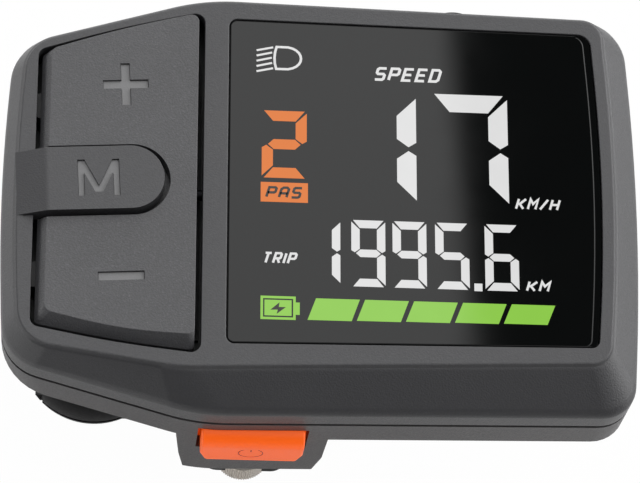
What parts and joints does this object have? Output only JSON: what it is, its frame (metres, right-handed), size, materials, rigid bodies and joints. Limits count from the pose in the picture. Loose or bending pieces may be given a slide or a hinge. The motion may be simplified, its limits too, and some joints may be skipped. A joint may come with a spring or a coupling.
{
  "type": "e-bike display",
  "caption": "Handlebar computer for an e-bike: flat case with a colour screen, a rocker keypad with a mode key, and a hinged bar clamp below with a power button and a clamp screw beside it.",
  "frame": {"origin": "centre of the handlebar clamp bore, midway along its liners", "axes": "+X runs right along the handlebar, +Y points away from the rider, +Z points out of the screen"},
  "size_m": [0.0918, 0.0678, 0.0453],
  "materials": {
    "cover": "fine texture, satin",
    "rear": "fine texture, satin",
    "clamp": "smooth, glossy",
    "liner": "matt",
    "window": "tinted, glossy",
    "panel": "smooth",
    "frame": "smooth",
    "film": "smooth",
    "tape": "matt",
    "board": "solder mask",
    "chip": "matt",
    "socket": "smooth",
    "mark": "satin",
    "button": "satin",
    "steel": "satin",
    "brass": "knurled"
  },
  "bodies": {
    "display": {"front_cover": "cover", "rear_cover": "rear", "housing_seal": "liner", "display_window": "window", "window_adhesive": "tape", "lcd_panel": "panel", "lcd_frame": "frame", "lcd_flex": "film", "flex_socket": "socket", "circuit_board": "board", "board_chips": "chip", "cable_socket": "socket", "board_screws": "steel", "key_domes": "steel", "key_membrane": "liner", "rocker_pin": "steel", "mode_pin": "steel", "power_board": "board", "power_dome": "steel", "power_lead": "film", "housing_screws": "steel", "clamp_saddle": "clamp", "saddle_screws": "steel", "saddle_liner": "liner", "hinge_pin": "steel", "thread_insert": "brass", "cable_gland": "liner"},
    "rocker": {"rocker_key": "cover", "plus_mark": "mark", "minus_mark": "mark"},
    "mode": {"mode_key": "cover", "mode_mark": "mark"},
    "button": {"power_button": "button"},
    "jaw": {"clamp_jaw": "clamp", "jaw_liner": "liner"},
    "screw": {"clamp_screw": "steel"}
  },
  "joints": [
    {"name": "rocker_tilt", "type": "hinge", "parent": "display", "child": "rocker", "pos_m": [-0.0095, 0.0106, 0.0246], "axis": [1, 0, 0], "range_deg": [-1.5, 1.5], "stiffness_Nm_per_rad": 0.6},
    {"name": "mode_tilt", "type": "hinge", "parent": "display", "child": "mode", "pos_m": [-0.0225, 0.01, 0.0274], "axis": [-0.0611, 0.9981, 0], "range_deg": [0, 1.6], "stiffness_Nm_per_rad": 0.6},
    {"name": "button_press", "type": "slide", "parent": "display", "child": "button", "axis": [0, 1, 0], "range_m": [0, 0.0006], "stiffness_N_per_m": 2000},
    {"name": "jaw_swing", "type": "hinge", "parent": "display", "child": "jaw", "pos_m": [0, 0.016, -0.0021], "axis": [1, 0, 0], "range_deg": [0, 8]},
    {"name": "screw_travel", "type": "slide", "parent": "display", "child": "screw", "axis": [0, 0, -1], "range_m": [0, 0.0052]}
  ],
  "couplings": [
    {"joint": "screw_travel", "follows": "jaw_swing", "m_per_rad": 0.0368}
  ]
}
